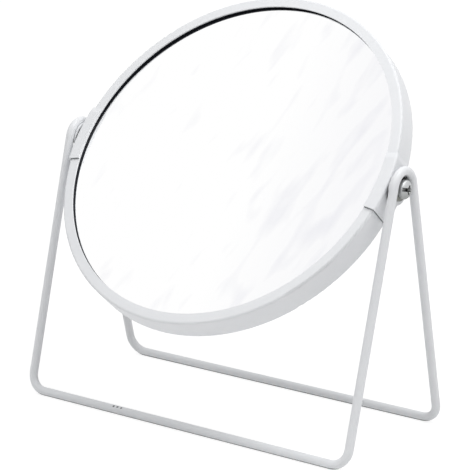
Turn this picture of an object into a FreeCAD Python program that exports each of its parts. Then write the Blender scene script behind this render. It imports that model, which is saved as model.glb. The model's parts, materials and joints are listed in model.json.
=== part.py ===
import FreeCAD, Part
import math
import os

# A two-sided makeup mirror that turns in a stand bent from one closed loop of wire.
# Millimetres. The origin is on the table, midway between the bars and below the pivot axis.
# The user faces the mirror from -Y, +X is to the right and +Z is up.

Vector = FreeCAD.Vector

# Stand
wire_diameter = 4.0
bend_radius = 8.0              # of the wire's centre line, the same at all six bends
bar_spacing = 78.0             # between the centre lines of the front and rear bars
pivot_height = 117.5
leg_spread = 0.8               # of each pivot past the ends of the bars, as the legs are sprung apart
tab_thickness = 1.0
tab_setback = 0.5              # of the tab's rim from the centre line of the arch
tab_edge_break = 0.2
weld_gap = 0.02                # between the tab's flat and the wire that it is welded to

# Ring of two half bands
ring_outer_radius = 85.0
lip_reach = 5.0                # width of each lip, from the outside of the ring
band_sheet = 0.7
band_corner_radius = 1.0       # outside of the bend
band_end_gap = 0.1             # between the two halves at each side

# Glass and what holds it
glass_thickness = 2.0
glass_edge_bevel = 0.3
glass_edge_room = 0.3          # between the glass and the joint plates
magnifier_dish = 4.4           # depth of the concave mirror at its middle
mirror_middle_gap = 1.0        # between the backs of the mirrors at their middle
gasket_height = 1.1
gasket_setback = 0.2           # behind the edge of the lip
spacer_width = 6.0
spacer_setback = 2.0           # from the edge of the glass

# Side joints
clip_reach_up = 13.5           # along the outside of the ring, from the pivot
clip_reach_down = 15.0
clip_sheet = 0.85
clip_seat = 0.05               # room between the clip and the band
clip_corner_radius = 1.1       # outside of the bend
crimp_length = 2.5             # of the upper end, which is pressed thin towards the band
crimp_sheet = 0.35             # at the very end
pad_rise = 0.2                 # flat pad above the clip's curved wall
pad_flank = 0.8                # slope round the pad, in plan
plate_length = 24.0
plate_width = 7.0
plate_sheet = 2.0
inner_seat = 0.05              # between curved faces that lie on each other inside the ring
liner_end_room = 0.5           # between a liner and a joint plate

# Pivot hardware
screw_diameter = 4.0
head_diameter = 8.5
head_height = 3.1
head_rim_height = 1.0
recess_width = 4.5             # across the arms of the cross
recess_arm = 1.1
recess_depth = 2.2
slot_width = 1.6
slot_depth = 1.5
head_turn_degrees = 12.0       # of the slot, whose front end stands higher
friction_washer_diameter = 13.0
friction_washer_thickness = 0.5
flat_washer_thickness = 1.0
flat_washer_room = 0.6         # between the washer and the inside of the arch
spring_washer_diameter = 7.6
spring_washer_thickness = 1.0
spring_washer_split = 0.6
pivot_play = 0.1               # radial, between the screw and the tab that it turns in
hole_room = 0.2                # radial, between the screw and the pieces that it clamps
thread_room = 0.02             # radial, between the screw and its tapped plate

# Pose in the photograph
lean_back_degrees = 40.0

# Sizes that follow
wire_radius = wire_diameter / 2
screw_radius = screw_diameter / 2
lip_edge_radius = ring_outer_radius - lip_reach
channel_wall_radius = ring_outer_radius - band_sheet
plate_outer_radius = channel_wall_radius - inner_seat
plate_inner_radius = plate_outer_radius - plate_sheet
glass_radius = plate_inner_radius - glass_edge_room
glass_rim_gap = magnifier_dish + mirror_middle_gap
glass_back = glass_rim_gap / 2
glass_face = glass_back + glass_thickness
lip_back = glass_face + gasket_height
half_depth = lip_back + band_sheet
magnifier_radius = (glass_radius ** 2 + magnifier_dish ** 2) / (2 * magnifier_dish)
clip_inside_radius = ring_outer_radius + clip_seat
clip_outside_radius = clip_inside_radius + clip_sheet
clip_half_depth = half_depth + clip_seat + clip_sheet
pad_face = clip_outside_radius + pad_rise
tab_inner_face = pad_face + friction_washer_thickness
tab_outer_face = tab_inner_face + tab_thickness
tab_radius = bend_radius - tab_setback
tab_flat_radius = tab_radius - tab_edge_break
tab_to_leg = math.sqrt(wire_radius ** 2 - (bend_radius - tab_flat_radius) ** 2)
leg_plane = tab_outer_face + tab_to_leg + weld_gap
spring_washer_face = tab_outer_face + flat_washer_thickness
head_underside = spring_washer_face + spring_washer_thickness
flat_washer_radius = bend_radius - wire_radius - flat_washer_room
clip_top_angle = math.degrees(clip_reach_up / ring_outer_radius)
clip_foot_angle = math.degrees(clip_reach_down / ring_outer_radius)
crimp_angle = math.degrees(crimp_length / ring_outer_radius)
plate_half_angle = math.degrees(plate_length / 2 / plate_outer_radius)

CENTRE = Vector(0, 0, 0)
TO_RIGHT = Vector(1, 0, 0)
TO_REAR = Vector(0, 1, 0)
UP = Vector(0, 0, 1)
HALF_ROOT = math.sqrt(0.5)


def outline(start, *steps):
    """A face bounded by straight runs to points, and by arcs where a step is (way point, end)."""
    edges = []
    here = start
    for step in steps:
        if isinstance(step, tuple):
            way, there = step
            edges.append(Part.Arc(here, way, there).toShape())
        else:
            there = step
            edges.append(Part.LineSegment(here, there).toShape())
        here = there
    return Part.Face(Part.Wire(edges))


def spot(radius, along):
    """A point of a ring's section: its distance from the ring's axis, and its place along it."""
    return Vector(radius, along, 0)


def swept_ring(section, first_degrees=0.0, last_degrees=360.0):
    """A section turned about the ring's axis, with angles from the right-hand pivot upwards."""
    turned = section.copy()
    turned.rotate(CENTRE, TO_REAR, -first_degrees)
    return turned.revolve(CENTRE, -TO_REAR, last_degrees - first_degrees)


def flat_section(inner, outer, near, far):
    """A rectangular ring section."""
    return outline(
        spot(inner, near),
        spot(outer, near),
        spot(outer, far),
        spot(inner, far),
        spot(inner, near),
    )


def channel_section(lip_edge, outside, half, sheet, corner):
    """A U section, open towards the axis, pressed from sheet, with rounded outer corners."""
    bend = outside - corner
    flat = half - corner
    way = corner * HALF_ROOT
    return outline(
        spot(lip_edge, -half),
        spot(bend, -half),
        (spot(bend + way, -flat - way), spot(outside, -flat)),
        spot(outside, flat),
        (spot(bend + way, flat + way), spot(bend, half)),
        spot(lip_edge, half),
        spot(lip_edge, half - sheet),
        spot(outside - sheet, half - sheet),
        spot(outside - sheet, sheet - half),
        spot(lip_edge, sheet - half),
        spot(lip_edge, -half),
    )


def rod(radius, start, end):
    """A round bar along X, centred on the pivot axis."""
    return Part.makeCylinder(radius, end - start, Vector(start, 0, 0), TO_RIGHT)


def washer(outer_radius, bore_radius, start, thickness):
    """A flat ring on the pivot axis."""
    end = start + thickness
    return rod(outer_radius, start, end).cut(rod(bore_radius, start, end))


def rounded_corner(before, corner, after):
    """Where a bend starts, its middle and its end, for a centre line that turns at a corner."""
    back = (before - corner).normalize()
    on = (after - corner).normalize()
    half_turn = back.getAngle(on) / 2
    inward = (back + on).normalize()
    run = bend_radius / math.tan(half_turn)
    middle = corner + inward * (bend_radius / math.sin(half_turn) - bend_radius)
    return corner + back * run, middle, corner + on * run


def stand_wire():
    """The closed loop: two bars, four legs that lean together in pairs, and an arch over each pivot."""
    reach = bar_spacing / 2
    rise = pivot_height - wire_radius
    # The legs would meet at this height above the bars if the arch between them, which is
    # centred on the pivot, were left out.
    leg = math.sqrt(reach ** 2 + rise ** 2 - bend_radius ** 2)
    apex = (rise * reach ** 2 + reach * bend_radius * leg) / (reach ** 2 - bend_radius ** 2)
    bar_end = leg_plane - leg_spread
    apex_place = bar_end + leg_spread * apex / rise
    corners = [
        Vector(-bar_end, -reach, wire_radius),
        Vector(bar_end, -reach, wire_radius),
        Vector(apex_place, 0, wire_radius + apex),
        Vector(bar_end, reach, wire_radius),
        Vector(-bar_end, reach, wire_radius),
        Vector(-apex_place, 0, wire_radius + apex),
    ]
    count = len(corners)
    bends = [
        rounded_corner(corners[i - 1], corners[i], corners[(i + 1) % count])
        for i in range(count)
    ]
    lengths = []
    for i in range(count):
        entry, middle, leaving = bends[i]
        left_last = bends[i - 1][2]
        straight = entry - left_last
        lengths.append(Part.makeCylinder(wire_radius, straight.Length, left_last, straight))
        bend = Part.Arc(entry, middle, leaving).toShape()
        turn = math.degrees(bend.LastParameter - bend.FirstParameter)
        section = Part.Face(Part.Wire(Part.makeCircle(wire_radius, entry, straight)))
        lengths.append(section.revolve(bend.Curve.Center, bend.Curve.Axis, turn))
    return lengths[0].multiFuse(lengths[1:]).removeSplitter()


def pivot_tab():
    """A round tab welded against the inner side of an arch."""
    disc = rod(tab_radius, tab_inner_face, tab_outer_face)
    rims = [edge for edge in disc.Edges if edge.Closed]
    disc = disc.makeChamfer(tab_edge_break, rims)
    return disc.cut(rod(screw_radius + pivot_play, tab_inner_face, tab_outer_face))


def half_band(first_degrees):
    """Half of the ring, notched at both ends for the pivot screws."""
    section = channel_section(
        lip_edge_radius, ring_outer_radius, half_depth, band_sheet, band_corner_radius
    )
    end = math.degrees(band_end_gap / 2 / ring_outer_radius)
    band = swept_ring(section, first_degrees + end, first_degrees + 180 - end)
    notch = rod(screw_radius + hole_room, -ring_outer_radius, ring_outer_radius)
    return band.cut(notch)


def clip_section(sheet, degrees):
    """The clip's section where its sheet has a given thickness, turned to its place on the ring."""
    section = channel_section(
        lip_edge_radius,
        clip_inside_radius + sheet,
        half_depth + clip_seat + sheet,
        sheet,
        clip_corner_radius * sheet / clip_sheet,
    )
    section.rotate(CENTRE, TO_REAR, -degrees)
    return section


def saddle_clip():
    """A pressed clip that wraps both lips and the wall over a joint of the half bands."""
    crimp_start = clip_top_angle - crimp_angle
    thick = clip_section(clip_sheet, crimp_start)
    thin = clip_section(crimp_sheet, clip_top_angle)
    crimp = Part.makeLoft([thick.OuterWire, thin.OuterWire], True, True)
    body = swept_ring(clip_section(clip_sheet, 0), -clip_foot_angle, crimp_start)
    pad_radius = friction_washer_diameter / 2
    pad_foot = pad_radius + pad_flank
    pad_height = pad_face - channel_wall_radius
    pad = Part.makeCone(pad_foot, pad_radius, pad_height, Vector(channel_wall_radius, 0, 0), TO_RIGHT)
    flat = clip_half_depth - clip_corner_radius
    wall = Part.makeBox(
        pad_height, 2 * flat, 2 * pad_foot, Vector(channel_wall_radius, -flat, -pad_foot)
    )
    inside = Part.makeCylinder(
        clip_inside_radius, 2 * half_depth, Vector(0, -half_depth, 0), TO_REAR
    )
    bore = rod(screw_radius + hole_room, channel_wall_radius, pad_face)
    pad = pad.common(wall).cut(inside)
    return body.multiFuse([crimp, pad]).cut(bore).removeSplitter()


def joint_plate():
    """A curved plate inside the channel, tapped for the pivot screw."""
    section = flat_section(
        plate_inner_radius, plate_outer_radius, -plate_width / 2, plate_width / 2
    )
    plate = swept_ring(section, -plate_half_angle, plate_half_angle)
    return plate.cut(rod(screw_radius + thread_room, 0, ring_outer_radius))


def front_mirror():
    """The flat mirror, with its front edge ground to a small bevel."""
    rim = glass_radius - glass_edge_bevel
    section = outline(
        spot(0, -glass_face),
        spot(rim, -glass_face),
        spot(glass_radius, glass_edge_bevel - glass_face),
        spot(glass_radius, -glass_back),
        spot(0, -glass_back),
        spot(0, -glass_face),
    )
    return swept_ring(section)


def dish_depth(radius, curve_radius):
    """How deep a dished face lies at a radius, measured from the plane of its rim."""
    rim_height = math.sqrt(curve_radius ** 2 - glass_radius ** 2)
    return math.sqrt(curve_radius ** 2 - radius ** 2) - rim_height


def dished_ball(curve_radius, rim_place):
    """A ball whose surface passes through the glass's edge at a place along the axis."""
    rise = math.sqrt(curve_radius ** 2 - glass_radius ** 2)
    return Part.makeSphere(curve_radius, Vector(0, rim_place + rise, 0))


def rear_mirror():
    """The magnifying mirror: a sheet of glass slumped to a shallow dish, hollow side to the rear."""
    back_curve = magnifier_radius + glass_thickness
    hollow = dished_ball(magnifier_radius, glass_face)
    bulge = dished_ball(back_curve, glass_back)
    disc = Part.makeCylinder(
        glass_radius, 2 * half_depth, Vector(0, -half_depth, 0), TO_REAR
    )
    return disc.common(bulge).cut(hollow)


def gasket(side):
    """A flat gasket between a lip and its mirror; side is -1 at the front and 1 at the rear."""
    section = flat_section(
        lip_edge_radius + gasket_setback,
        plate_outer_radius,
        side * lip_back,
        side * glass_face,
    )
    return swept_ring(section)


def spacer_ring():
    """A ring between the backs of the two mirrors, shaped to the dished one."""
    back_curve = magnifier_radius + glass_thickness
    outer = glass_radius - spacer_setback
    middle = outer - spacer_width / 2
    inner = outer - spacer_width

    def against_dish(radius):
        return spot(radius, glass_back - dish_depth(radius, back_curve) - inner_seat)

    section = outline(
        spot(inner, -glass_back),
        spot(outer, -glass_back),
        against_dish(outer),
        (against_dish(middle), against_dish(inner)),
        spot(inner, -glass_back),
    )
    return swept_ring(section)


def liner(first_degrees):
    """A strip that centres the glass in a half band, from one joint plate to the other."""
    section = flat_section(
        glass_radius + inner_seat, plate_outer_radius, -glass_face, glass_face
    )
    end = plate_half_angle + math.degrees(liner_end_room / plate_outer_radius)
    return swept_ring(section, first_degrees + end, first_degrees + 180 - end)


def driver_recess(top):
    """What is cut from the head: a slot right across, and a cross of two tapering blades and a cone."""
    wide = recess_width / 2
    narrow = recess_arm / 2
    floor = top - recess_depth
    blade_outline = outline(
        Vector(top, -wide, -narrow),
        Vector(top, wide, -narrow),
        Vector(floor, narrow, -narrow),
        Vector(floor, -narrow, -narrow),
        Vector(top, -wide, -narrow),
    )
    blade = blade_outline.extrude(UP * recess_arm)
    crossed = blade.copy()
    crossed.rotate(CENTRE, TO_RIGHT, 90)
    core = Part.makeCone(narrow, wide * HALF_ROOT, recess_depth, Vector(floor, 0, 0), TO_RIGHT)
    slot = Part.makeBox(
        slot_depth,
        2 * head_diameter,
        slot_width,
        Vector(top - slot_depth, -head_diameter, -slot_width / 2),
    )
    recess = slot.multiFuse([blade, crossed, core])
    recess.rotate(CENTRE, TO_RIGHT, -head_turn_degrees)
    return recess


def pivot_screw():
    """A pan-head screw with an elliptical crown and a slotted cross, whose plain shank is the pivot."""
    rim_radius = head_diameter / 2
    top = head_underside + head_height
    foot = Vector(head_underside, 0, 0)
    foot_rim = Vector(head_underside, rim_radius, 0)
    crown_centre = Vector(head_underside + head_rim_height, 0, 0)
    crown_rim = crown_centre + foot_rim - foot
    peak = Vector(top, 0, 0)
    crown = Part.Ellipse(crown_rim, peak, crown_centre)
    section = Part.Wire([
        Part.LineSegment(foot, foot_rim).toShape(),
        Part.LineSegment(foot_rim, crown_rim).toShape(),
        Part.ArcOfEllipse(crown, 0, math.pi / 2).toShape(),
        Part.LineSegment(peak, foot).toShape(),
    ])
    head = Part.Face(section).revolve(CENTRE, TO_RIGHT, 360)
    shank = rod(screw_radius, plate_inner_radius, head_underside)
    return head.cut(driver_recess(top)).fuse(shank).removeSplitter()


def flat_washer():
    """A wide plastic washer that bears on the tab, inside the arch."""
    return washer(flat_washer_radius, screw_radius + hole_room, tab_outer_face, flat_washer_thickness)


def spring_washer():
    """A split washer pressed flat under the screw head."""
    radius = spring_washer_diameter / 2
    ring = washer(radius, screw_radius + hole_room, spring_washer_face, spring_washer_thickness)
    split = Part.makeBox(
        spring_washer_thickness,
        spring_washer_split,
        radius,
        Vector(spring_washer_face, -spring_washer_split / 2, 0),
    )
    return ring.cut(split)


def friction_washer():
    """A plastic washer between clip and tab, which keeps the mirror where it is turned."""
    return washer(
        friction_washer_diameter / 2, screw_radius + hole_room, pad_face, friction_washer_thickness
    )


def at_left(shape):
    """The same piece at the left-hand pivot."""
    other = shape.copy()
    other.rotate(CENTRE, UP, 180)
    return other


def at_pivot_height(shape):
    """A piece drawn about the pivot axis, raised to its place on the stand."""
    raised = shape.copy()
    raised.translate(UP * pivot_height)
    return raised


def leaning(shape):
    """A piece of the upright mirror head, leant back as photographed and raised to its place."""
    leant = shape.copy()
    leant.rotate(CENTRE, TO_RIGHT, -lean_back_degrees)
    return at_pivot_height(leant)


def main():
    nodes = {
        "stand_wire": stand_wire(),
        "upper_band": leaning(half_band(0)),
        "lower_band": leaning(half_band(180)),
        "front_mirror": leaning(front_mirror()),
        "rear_mirror": leaning(rear_mirror()),
        "front_gasket": leaning(gasket(-1)),
        "rear_gasket": leaning(gasket(1)),
        "spacer_ring": leaning(spacer_ring()),
        "upper_liner": leaning(liner(0)),
        "lower_liner": leaning(liner(180)),
    }
    paired = {
        "pivot_tab": (pivot_tab(), at_pivot_height),
        "saddle_clip": (saddle_clip(), leaning),
        "joint_plate": (joint_plate(), leaning),
        "friction_washer": (friction_washer(), at_pivot_height),
        "flat_washer": (flat_washer(), at_pivot_height),
        "spring_washer": (spring_washer(), at_pivot_height),
        "pivot_screw": (pivot_screw(), at_pivot_height),
    }
    for name, (shape, place) in paired.items():
        nodes[name + "_right"] = place(shape)
        nodes[name + "_left"] = place(at_left(shape))
    os.makedirs("parts", exist_ok=True)
    for name, shape in nodes.items():
        shape.exportStep("parts/" + name + ".step")


main()
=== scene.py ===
import json
import math

import bpy
from mathutils import Matrix, Vector

# The finishes, light and camera of a two-sided makeup mirror in a bent wire stand.
# Metres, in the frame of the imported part: the user faces the mirror from -Y and +Z is up.

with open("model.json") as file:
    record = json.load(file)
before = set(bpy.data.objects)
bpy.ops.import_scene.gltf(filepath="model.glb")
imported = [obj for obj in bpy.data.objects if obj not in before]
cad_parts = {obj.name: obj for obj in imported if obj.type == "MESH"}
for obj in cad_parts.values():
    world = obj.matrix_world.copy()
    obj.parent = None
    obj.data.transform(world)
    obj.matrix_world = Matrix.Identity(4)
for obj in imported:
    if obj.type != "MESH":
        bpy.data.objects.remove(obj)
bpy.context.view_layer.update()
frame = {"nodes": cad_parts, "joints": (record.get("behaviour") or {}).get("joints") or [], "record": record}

MM = 0.001
pivot = Vector(frame["joints"][0]["pos_m"])   # the middle of the axis that the mirror tilts about
lean_back = math.radians(40)   # of the mirror as the part is packed
lean = Matrix.Rotation(-lean_back, 3, "X")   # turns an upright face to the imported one

# Camera, as fitted to the photograph; azimuths run from the user's side towards the right
picture_width_px = 470
focal_length_px = 2011.8
view_azimuth = 35.300
view_elevation = 14.267
view_roll = math.radians(0.660)
view_distance = 0.91953
view_target = Vector((0.00152, 0, 0.08349))
sensor_width_mm = 36.0

# Studio
sky_patches = {                # broad patches of soft light: azimuth, elevation, strength
    "front left": (315, 48, 1.75),
    "right": (90, 48, 1.52),
    "rear left": (225, 48, 0.78),
}
patch_fade = 6                 # power of the cosine by which a patch fades out
softbox_azimuth = 90
softbox_elevation = 66
softbox_distance = 0.55
softbox_width = 0.40
softbox_watts = 1.53
floor_reach = 4.0              # from the middle of the floor to its edges
floor_shadow = 0.25            # share of the light on the floor that shows in its shadows
floor_glow = 0.85              # what lifts the floor to white where nothing shades it

# White coat, with pits where the weld that closes the loop of wire was ground
cloud_size = 9 * MM            # of the faint clouds in its colour
peel_size = 1.3 * MM           # of its orange peel
peel_height = 0.05 * MM
pit_count = 3
first_pit = Vector((-37.7, -39.9, 3.75)) * MM   # on top of the front bar, left of its middle
pit_spacing = 2.15 * MM
pit_radius = 0.65 * MM
pit_edge = 1.5                 # the furthest that the uneven edge of a pit can reach, in radii

# Painted shade follows how open a place is, which is 1 where no face is near and less in a seam or recess
openness_rays = 8              # that find how open a place is

# Painted shade in the seams of the white coat
seam_reach = 2 * MM            # how near a face counts
seam_begins = 0.68             # openness under which the painted shade begins
seam_full = 0.42               # openness under which it is darkest
seam_cover = 0.95              # how far it darkens the coat there
shade_lifted_over = 5 * MM           # over the pivots, from where the painted shade in seams is lightened most
shade_kept_under = -3 * MM           # under the pivots, where it is darkened a little
gain_over_pivots = 0.50              # added to openness over the pivots
gain_under_pivots = -0.08              # added to it under the pivots
gain_at_floor = 0.12             # added on the bars near the floor, which lightens their painted shade

# Glass: wiping strokes, a haze that thickens to the user's right, and a painted reflection of the black
# gasket as a dark band near the rim
stroke_lean = math.radians(14)
stroke_width = 6.5 * MM
stroke_length = 22 * MM
stroke_begins = 0.49           # level of the noise at which a stroke shows
stroke_full = 0.73             # level at which it is strongest
stroke_share = 0.08            # of the reflection that is lost in a stroke
strokes_few = -17 * MM         # across the glass, up to where strokes are few
strokes_many = 40 * MM         # from where there are as many as the noise has
few_loss = 0.15                # in the level of the noise where strokes are few
haze_start = 17 * MM
haze_end = 80 * MM
haze_share = 0.074             # of the reflection that is lost at the end of the haze
painted_band_radius = 82.3 * MM      # the painted band lies outside a disc a little off the middle of the glass
painted_band_shift = Vector((2.3, 0, -3.2)) * MM   # to the right, and down the face
painted_band_blur = 0.1 * MM         # width of its edge

# Zinc
turning_pitch = 0.25 * MM      # coarser than real tool marks, so that they show
turning_height = 0.02 * MM
wave_period = 2 * math.pi / 20   # of a wave texture of scale 1
recess_reach = 2.5 * MM        # how far the walls of the driver recess shade each other
recess_dark = 0.55             # openness under which the painted shade in the recess is darkest
recess_bright = 0.90           # openness from which the plate has no painted shade
zinc_darkest_under = -2.5 * MM        # under the pivots, from where the screw heads are painted darkest
zinc_lightest_over = 2.5 * MM         # over the pivots, from where they are painted lightest

# Rubber, foam and nylon
gasket_dust_size = 2 * MM
foam_cell = 0.5 * MM
rub_mark_size = 1.5 * MM
washer_reach = 4 * MM          # how near other faces must be to paint shade on the washers
washer_begins = 0.25           # openness under which they are painted near-black
washer_full = 0.50             # openness from which they show their full grey
washer_lifted_up_to = 2 * MM          # over the pivots, up to where they are lightened
washer_shaded_from = 4 * MM          # from where they are painted dark under the arches
washer_lift = 0.30              # added to openness up to there
washer_drop_under_arches = -0.40             # taken from it under the arches

# Sockets of a colour mix node, found by number because its other kinds of value share their names
MIX_SHARE = 0
MIX_FROM = 6
MIX_TO = 7
MIXED = 2


def linear(hex_colour):
    """An sRGB hex colour as linear red, green, blue and full alpha."""
    shares = [int(hex_colour[i:i + 2], 16) / 255 for i in (1, 3, 5)]
    return [s / 12.92 if s <= 0.04045 else ((s + 0.055) / 1.055) ** 2.4 for s in shares] + [1.0]


def compass(azimuth, elevation):
    """The unit vector towards an azimuth and elevation in degrees."""
    turn = math.radians(azimuth)
    rise = math.radians(elevation)
    level = math.cos(rise)
    return Vector((math.sin(turn) * level, -math.cos(turn) * level, math.sin(rise)))


def node(tree, kind, inputs=None, **settings):
    """A shader node with its settings; each input is a value or another node's output."""
    made = tree.nodes.new("ShaderNode" + kind)
    for name, value in settings.items():
        setattr(made, name, value)
    for name, value in (inputs or {}).items():
        if isinstance(value, bpy.types.NodeSocket):
            tree.links.new(value, made.inputs[name])
        else:
            made.inputs[name].default_value = value
    return made


def blank_material(name):
    """A material with an empty node tree, and that tree."""
    material = bpy.data.materials.new(name)
    material.use_nodes = True
    material.node_tree.nodes.clear()
    return material, material.node_tree


def by_height(tree, place, low, high, at_low, at_high):
    """A value that runs from one to another between two heights over the pivots."""
    height = node(tree, "SeparateXYZ", {"Vector": place}).outputs["Z"]
    return node(tree, "MapRange", {
        "Value": height,
        "From Min": pivot.z + low,
        "From Max": pivot.z + high,
        "To Min": at_low,
        "To Max": at_high,
    }).outputs[0]


def weld_pits(tree, place, unevenness):
    """One in the pits of the front bar and nought elsewhere, with an uneven edge."""
    inside = 0.0
    for i in range(pit_count):
        centre = first_pit + Vector((i * pit_spacing, 0, 0))
        away = node(tree, "VectorMath", {0: place, 1: centre}, operation="DISTANCE").outputs["Value"]
        edge = node(tree, "Math", {0: unevenness, 1: pit_radius, 2: away}, operation="MULTIPLY_ADD")
        pit = node(tree, "MapRange", {
            "Value": edge.outputs[0], "From Min": pit_edge * pit_radius, "From Max": pit_radius
        })
        inside = node(tree, "Math", {0: inside, 1: pit.outputs[0]}, operation="MAXIMUM").outputs[0]
    return inside


def seam_painted_shade(tree, place):
    """How far painted shade darkens the coat: most in seams under the pivots, less in those over them, and
    less on the bars near the table.
    """
    openness = node(tree, "AmbientOcclusion", {"Distance": seam_reach}, samples=openness_rays)
    wiped_and_shade_lift = by_height(tree, place, shade_kept_under, shade_lifted_over, gain_under_pivots, gain_over_pivots)
    rubbed_and_floor_lift = by_height(tree, place, -pivot.z, shade_kept_under, gain_at_floor, 0.0)
    gain = node(tree, "Math", {0: wiped_and_shade_lift, 1: rubbed_and_floor_lift}, operation="ADD")
    lifted_openness = node(tree, "Math", {0: openness.outputs["AO"], 1: gain.outputs[0]}, operation="ADD")
    return node(tree, "MapRange", {
        "Value": lifted_openness.outputs[0],
        "From Min": seam_begins,
        "From Max": seam_full,
        "To Max": seam_cover,
    }, interpolation_type="SMOOTHSTEP").outputs[0]


def powder_coated_steel():
    """Polyester powder, sprayed and baked on steel: a satin white skin with a faint orange peel."""
    material, tree = blank_material("white_powder_coated_steel")
    place = node(tree, "TexCoord").outputs["Object"]
    cloud = node(tree, "TexNoise", {"Vector": place, "Scale": 1 / cloud_size, "Detail": 2.0})
    peel = node(tree, "TexNoise", {"Vector": place, "Scale": 1 / peel_size, "Detail": 1.0})
    coat = node(tree, "Mix", {
        MIX_SHARE: cloud.outputs["Fac"],
        MIX_FROM: linear("#E3E5E8"),
        MIX_TO: linear("#E9EAEC"),
    }, data_type="RGBA")
    # Painted shade in the seams of the coat, from how open each place is
    dust_and_shade = seam_painted_shade(tree, place)
    pits = weld_pits(tree, place, peel.outputs["Fac"])
    shade_and_pits = node(tree, "Math", {0: dust_and_shade, 1: pits}, operation="MAXIMUM")
    # The painted shade in the seams and the weld pits share one dark colour
    colour = node(tree, "Mix", {
        MIX_SHARE: shade_and_pits.outputs[0],
        MIX_FROM: coat.outputs[MIXED],
        MIX_TO: linear("#353E40"),
    }, data_type="RGBA")
    rough = node(tree, "MapRange", {"Value": peel.outputs["Fac"], "To Min": 0.36, "To Max": 0.48})
    bump = node(tree, "Bump", {
        "Height": peel.outputs["Fac"], "Strength": 0.10, "Distance": peel_height
    })
    shader = node(tree, "BsdfPrincipled", {
        "Base Color": colour.outputs[MIXED],
        "Roughness": rough.outputs[0],
        "Normal": bump.outputs[0],
        "IOR": 1.5,
    })
    node(tree, "OutputMaterial", {"Surface": shader.outputs[0]})
    return material


def wiped_film(tree, place):
    """The share of the reflection that wiping strokes and haze take away."""
    along_strokes = lean @ Matrix.Rotation(stroke_lean, 3, "Y")
    wiped_and_shade_lift = node(tree, "Mapping", {
        "Vector": place,
        "Location": pivot,
        "Rotation": along_strokes.to_euler(),
        "Scale": (stroke_width, stroke_width, stroke_length),
    }, vector_type="TEXTURE")
    wisps = node(tree, "TexNoise", {
        "Vector": wiped_and_shade_lift.outputs[0], "Scale": 1.0, "Detail": 1.0, "Distortion": 0.2
    })
    across = node(tree, "SeparateXYZ", {"Vector": place}).outputs["X"]
    fewer = node(tree, "MapRange", {
        "Value": across,
        "From Min": strokes_few,
        "From Max": strokes_many,
        "To Min": -few_loss,
        "To Max": 0.0,
    })
    kept = node(tree, "Math", {0: wisps.outputs["Fac"], 1: fewer.outputs[0]}, operation="ADD")
    strokes = node(tree, "MapRange", {
        "Value": kept.outputs[0],
        "From Min": stroke_begins,
        "From Max": stroke_full,
        "To Max": stroke_share,
    })
    haze = node(tree, "MapRange", {
        "Value": across, "From Min": haze_start, "From Max": haze_end, "To Max": haze_share
    })
    return node(tree, "Math", {0: haze.outputs[0], 1: strokes.outputs[0]}, operation="ADD").outputs[0]


def painted_gasket_reflection(tree, place):
    """One in the dark band painted near the rim for the reflection of the black gasket, and nought inside
    it.
    """
    middle = pivot + lean @ painted_band_shift
    facing = lean @ Vector((0, -1, 0))
    from_middle = node(tree, "VectorMath", {0: place, 1: middle}, operation="SUBTRACT")
    off_axis = node(tree, "VectorMath", {0: from_middle.outputs[0], 1: facing}, operation="CROSS_PRODUCT")
    outwards = node(tree, "VectorMath", {0: off_axis.outputs[0]}, operation="LENGTH")
    return node(tree, "MapRange", {
        "Value": outwards.outputs["Value"],
        "From Min": painted_band_radius,
        "From Max": painted_band_radius + painted_band_blur,
    }).outputs[0]


def silvered_glass():
    """Float glass silvered behind: a clear white mirror, dulled by wiping strokes and haze."""
    material, tree = blank_material("silvered_float_glass")
    place = node(tree, "TexCoord").outputs["Object"]
    film = wiped_film(tree, place)
    gasket_band = painted_gasket_reflection(tree, place)
    dulled = node(tree, "Mix", {
        MIX_SHARE: film,
        MIX_FROM: linear("#FFFFFF"),
        MIX_TO: linear("#303690"),
    }, data_type="RGBA")
    # Painted reflection: a dark band near the rim stands in for the black gasket seen again in the glass
    colour = node(tree, "Mix", {
        MIX_SHARE: gasket_band,
        MIX_FROM: dulled.outputs[MIXED],
        MIX_TO: linear("#1A1C21"),
    }, data_type="RGBA")
    metal_share = node(tree, "Math", {0: 1.0, 1: gasket_band}, operation="SUBTRACT")
    rough = node(tree, "MapRange", {
        "Value": film, "From Max": haze_share + stroke_share, "To Min": 0.012, "To Max": 0.08
    })
    shader = node(tree, "BsdfPrincipled", {
        "Base Color": colour.outputs[MIXED],
        "Metallic": metal_share.outputs[0],
        "Roughness": rough.outputs[0],
    })
    node(tree, "OutputMaterial", {"Surface": shader.outputs[0]})
    return material


def black_gasket_rubber():
    """Extruded black rubber: dull and deep, with a little dust."""
    material, tree = blank_material("extruded_black_rubber")
    place = node(tree, "TexCoord").outputs["Object"]
    dust_and_shade = node(tree, "TexNoise", {"Vector": place, "Scale": 1 / gasket_dust_size, "Detail": 3.0})
    colour = node(tree, "Mix", {
        MIX_SHARE: dust_and_shade.outputs["Fac"],
        MIX_FROM: linear("#17191E"),
        MIX_TO: linear("#22242A"),
    }, data_type="RGBA")
    shader = node(tree, "BsdfPrincipled", {
        "Base Color": colour.outputs[MIXED],
        "Roughness": 0.75,
        "Specular IOR Level": 0.1,
    })
    node(tree, "OutputMaterial", {"Surface": shader.outputs[0]})
    return material


def foam_tape():
    """Closed-cell grey foam tape, hidden inside the ring: matt with fine cells."""
    material, tree = blank_material("grey_foam_tape")
    place = node(tree, "TexCoord").outputs["Object"]
    cells = node(tree, "TexVoronoi", {"Vector": place, "Scale": 1 / foam_cell})
    colour = node(tree, "Mix", {
        MIX_SHARE: cells.outputs["Distance"],
        MIX_FROM: linear("#5A5C5E"),
        MIX_TO: linear("#3C3E40"),
    }, data_type="RGBA")
    shader = node(tree, "BsdfPrincipled", {"Base Color": colour.outputs[MIXED], "Roughness": 0.9})
    node(tree, "OutputMaterial", {"Surface": shader.outputs[0]})
    return material


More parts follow.
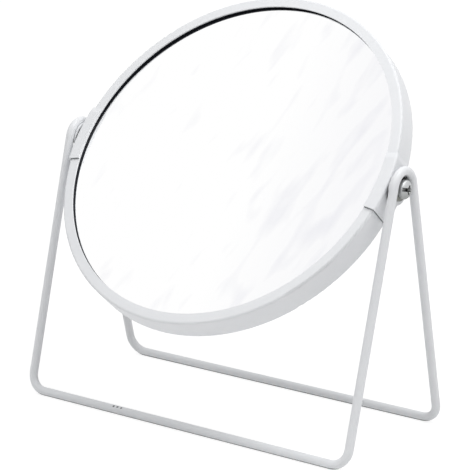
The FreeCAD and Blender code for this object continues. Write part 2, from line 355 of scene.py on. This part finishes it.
def bright_zinc_plate():
    """Bright zinc on machined steel: pale, with turning marks, painted shade in recesses and a painted
    reflection that darkens it towards the bottom.
    """
    material, tree = blank_material("bright_zinc_plated_steel")
    place = node(tree, "TexCoord").outputs["Object"]
    from_axis = node(tree, "VectorMath", {0: place, 1: pivot}, operation="SUBTRACT")
    turned = node(tree, "TexWave", {
        "Vector": from_axis.outputs[0],
        "Scale": wave_period / turning_pitch,
        "Distortion": 1.5,
        "Detail": 2.0,
    }, wave_type="RINGS", rings_direction="X")
    openness = node(
        tree, "AmbientOcclusion", {"Distance": recess_reach}, samples=openness_rays, only_local=True
    )
    unshaded_share = node(tree, "MapRange", {
        "Value": openness.outputs["AO"], "From Min": recess_dark, "From Max": recess_bright
    })
    # Painted reflection: the plate is darker towards the bottom, standing in for darker surroundings that it
    # would reflect there
    plate = node(tree, "Mix", {
        MIX_SHARE: by_height(tree, place, zinc_darkest_under, zinc_lightest_over, 0.0, 1.0),
        MIX_FROM: linear("#A3A5A4"),
        MIX_TO: linear("#C8CACB"),
    }, data_type="RGBA")
    # Painted shade in the driver recess
    colour = node(tree, "Mix", {
        MIX_SHARE: unshaded_share.outputs[0],
        MIX_FROM: linear("#1A1B1C"),
        MIX_TO: plate.outputs[MIXED],
    }, data_type="RGBA")
    rough = node(tree, "MapRange", {"Value": turned.outputs["Fac"], "To Min": 0.46, "To Max": 0.58})
    bump = node(tree, "Bump", {
        "Height": turned.outputs["Fac"], "Strength": 0.15, "Distance": turning_height
    })
    shader = node(tree, "BsdfPrincipled", {
        "Base Color": colour.outputs[MIXED],
        "Metallic": 1.0,
        "Roughness": rough.outputs[0],
        "Normal": bump.outputs[0],
    })
    node(tree, "OutputMaterial", {"Surface": shader.outputs[0]})
    return material


def black_nylon():
    """Black nylon sheet, die-cut to washers: grey where it lies open, and painted near-black shade where
    other faces close over it and under the arches.
    """
    material, tree = blank_material("die_cut_black_nylon")
    place = node(tree, "TexCoord").outputs["Object"]
    openness = node(tree, "AmbientOcclusion", {"Distance": washer_reach}, samples=openness_rays)
    height_gain = by_height(tree, place, washer_lifted_up_to, washer_shaded_from, washer_lift, washer_drop_under_arches)
    washer_openness = node(tree, "Math", {0: openness.outputs["AO"], 1: height_gain}, operation="ADD")
    dust_and_shade = node(tree, "MapRange", {
        "Value": washer_openness.outputs[0], "From Min": washer_begins, "From Max": washer_full
    })
    # Painted shade: near-black where the washer is closed in, grey where it lies open
    colour = node(tree, "Mix", {
        MIX_SHARE: dust_and_shade.outputs[0],
        MIX_FROM: linear("#0C0C0D"),
        MIX_TO: linear("#9A9B95"),
    }, data_type="RGBA")
    rubbed_and_floor_lift = node(tree, "TexNoise", {"Vector": place, "Scale": 1 / rub_mark_size, "Detail": 2.0})
    rough = node(tree, "MapRange", {"Value": rubbed_and_floor_lift.outputs["Fac"], "To Min": 0.42, "To Max": 0.60})
    shader = node(tree, "BsdfPrincipled", {
        "Base Color": colour.outputs[MIXED],
        "Roughness": rough.outputs[0],
        "Specular IOR Level": 0.25,
    })
    node(tree, "OutputMaterial", {"Surface": shader.outputs[0]})
    return material


def dress_nodes():
    """Gives every node of the part the finish of its slot."""
    finishes = {
        "white_powder_coat": powder_coated_steel(),
        "mirror_glass": silvered_glass(),
        "black_gasket": black_gasket_rubber(),
        "foam_strip": foam_tape(),
        "bright_zinc": bright_zinc_plate(),
        "black_nylon": black_nylon(),
    }
    for part in frame["record"]["subparts"]:
        mesh = frame["nodes"][part["node"]].data
        mesh.materials.clear()
        mesh.materials.append(finishes[part["material_slot"]])


def seen_ray(tree):
    """One for rays that show the studio, straight, in metal or through glass, and nought for its light."""
    path = node(tree, "LightPath").outputs
    seen = path["Is Camera Ray"]
    for kind in ("Is Glossy Ray", "Is Transmission Ray"):
        seen = node(tree, "Math", {0: seen, 1: path[kind]}, operation="MAXIMUM").outputs[0]
    return seen


def make_floor():
    """A plain white floor that takes the shadow of the mirror."""
    mesh = bpy.data.meshes.new("floor")
    corners = [(x * floor_reach, y * floor_reach, 0) for x, y in ((-1, -1), (1, -1), (1, 1), (-1, 1))]
    mesh.from_pydata(corners, [], [(0, 1, 2, 3)])
    material, tree = blank_material("white_paper_floor")
    paper = node(tree, "BsdfDiffuse", {"Color": linear("#F4F4F4")})
    shaded = node(tree, "BsdfDiffuse", {"Color": [floor_shadow] * 3 + [1.0]})
    glow = node(tree, "Emission", {"Color": (1, 1, 1, 1), "Strength": floor_glow})
    pictured = node(tree, "AddShader", {0: shaded.outputs[0], 1: glow.outputs[0]})
    both = node(tree, "MixShader", {0: seen_ray(tree), 1: paper.outputs[0], 2: pictured.outputs[0]})
    node(tree, "OutputMaterial", {"Surface": both.outputs[0]})
    mesh.materials.append(material)
    floor = bpy.data.objects.new("floor", mesh)
    bpy.context.scene.collection.objects.link(floor)


def make_sky():
    """Soft light in broad patches, and plain white in what is seen."""
    world = bpy.data.worlds.new("studio")
    world.use_nodes = True
    tree = world.node_tree
    tree.nodes.clear()
    direction = node(tree, "TexCoord").outputs["Generated"]
    total = 0.0
    for azimuth, elevation, strength in sky_patches.values():
        towards = node(
            tree, "VectorMath", {0: direction, 1: compass(azimuth, elevation)}, operation="DOT_PRODUCT"
        )
        ahead = node(tree, "Math", {0: towards.outputs["Value"], 1: 0.0}, operation="MAXIMUM")
        patch = node(tree, "Math", {0: ahead.outputs[0], 1: patch_fade}, operation="POWER")
        total = node(
            tree, "Math", {0: patch.outputs[0], 1: strength, 2: total}, operation="MULTIPLY_ADD"
        ).outputs[0]
    soft_light = node(tree, "Background", {"Color": (1, 1, 1, 1), "Strength": total})
    white = node(tree, "Background", {"Color": (1, 1, 1, 1), "Strength": 1.0})
    both = node(tree, "MixShader", {0: seen_ray(tree), 1: soft_light.outputs[0], 2: white.outputs[0]})
    node(tree, "OutputWorld", {"Surface": both.outputs[0]})
    bpy.context.scene.world = world


def make_softbox():
    """A near softbox above the right-hand side."""
    lamp = bpy.data.lights.new("softbox", "AREA")
    lamp.size = softbox_width
    lamp.energy = softbox_watts
    softbox = bpy.data.objects.new("softbox", lamp)
    way = compass(softbox_azimuth, softbox_elevation)
    softbox.location = pivot + way * softbox_distance
    softbox.rotation_euler = way.to_track_quat("Z", "Y").to_euler()
    bpy.context.scene.collection.objects.link(softbox)


def make_camera():
    """The camera of the photograph."""
    back = compass(view_azimuth, view_elevation)
    right = compass(view_azimuth + 90, 0)
    up = back.cross(right)
    rolled_right = right * math.cos(view_roll) + up * math.sin(view_roll)
    rolled_up = up * math.cos(view_roll) - right * math.sin(view_roll)
    turn = Matrix((rolled_right, rolled_up, back)).transposed().to_4x4()
    lens = bpy.data.cameras.new("camera")
    lens.sensor_width = sensor_width_mm
    lens.lens = focal_length_px / picture_width_px * sensor_width_mm
    lens.clip_start = view_distance / 100
    lens.clip_end = view_distance * 100
    camera = bpy.data.objects.new("camera", lens)
    camera.matrix_world = Matrix.Translation(view_target + back * view_distance) @ turn
    bpy.context.scene.collection.objects.link(camera)
    bpy.context.scene.camera = camera


dress_nodes()
make_floor()
make_sky()
make_softbox()
make_camera()
bpy.context.scene.view_settings.view_transform = "Standard"
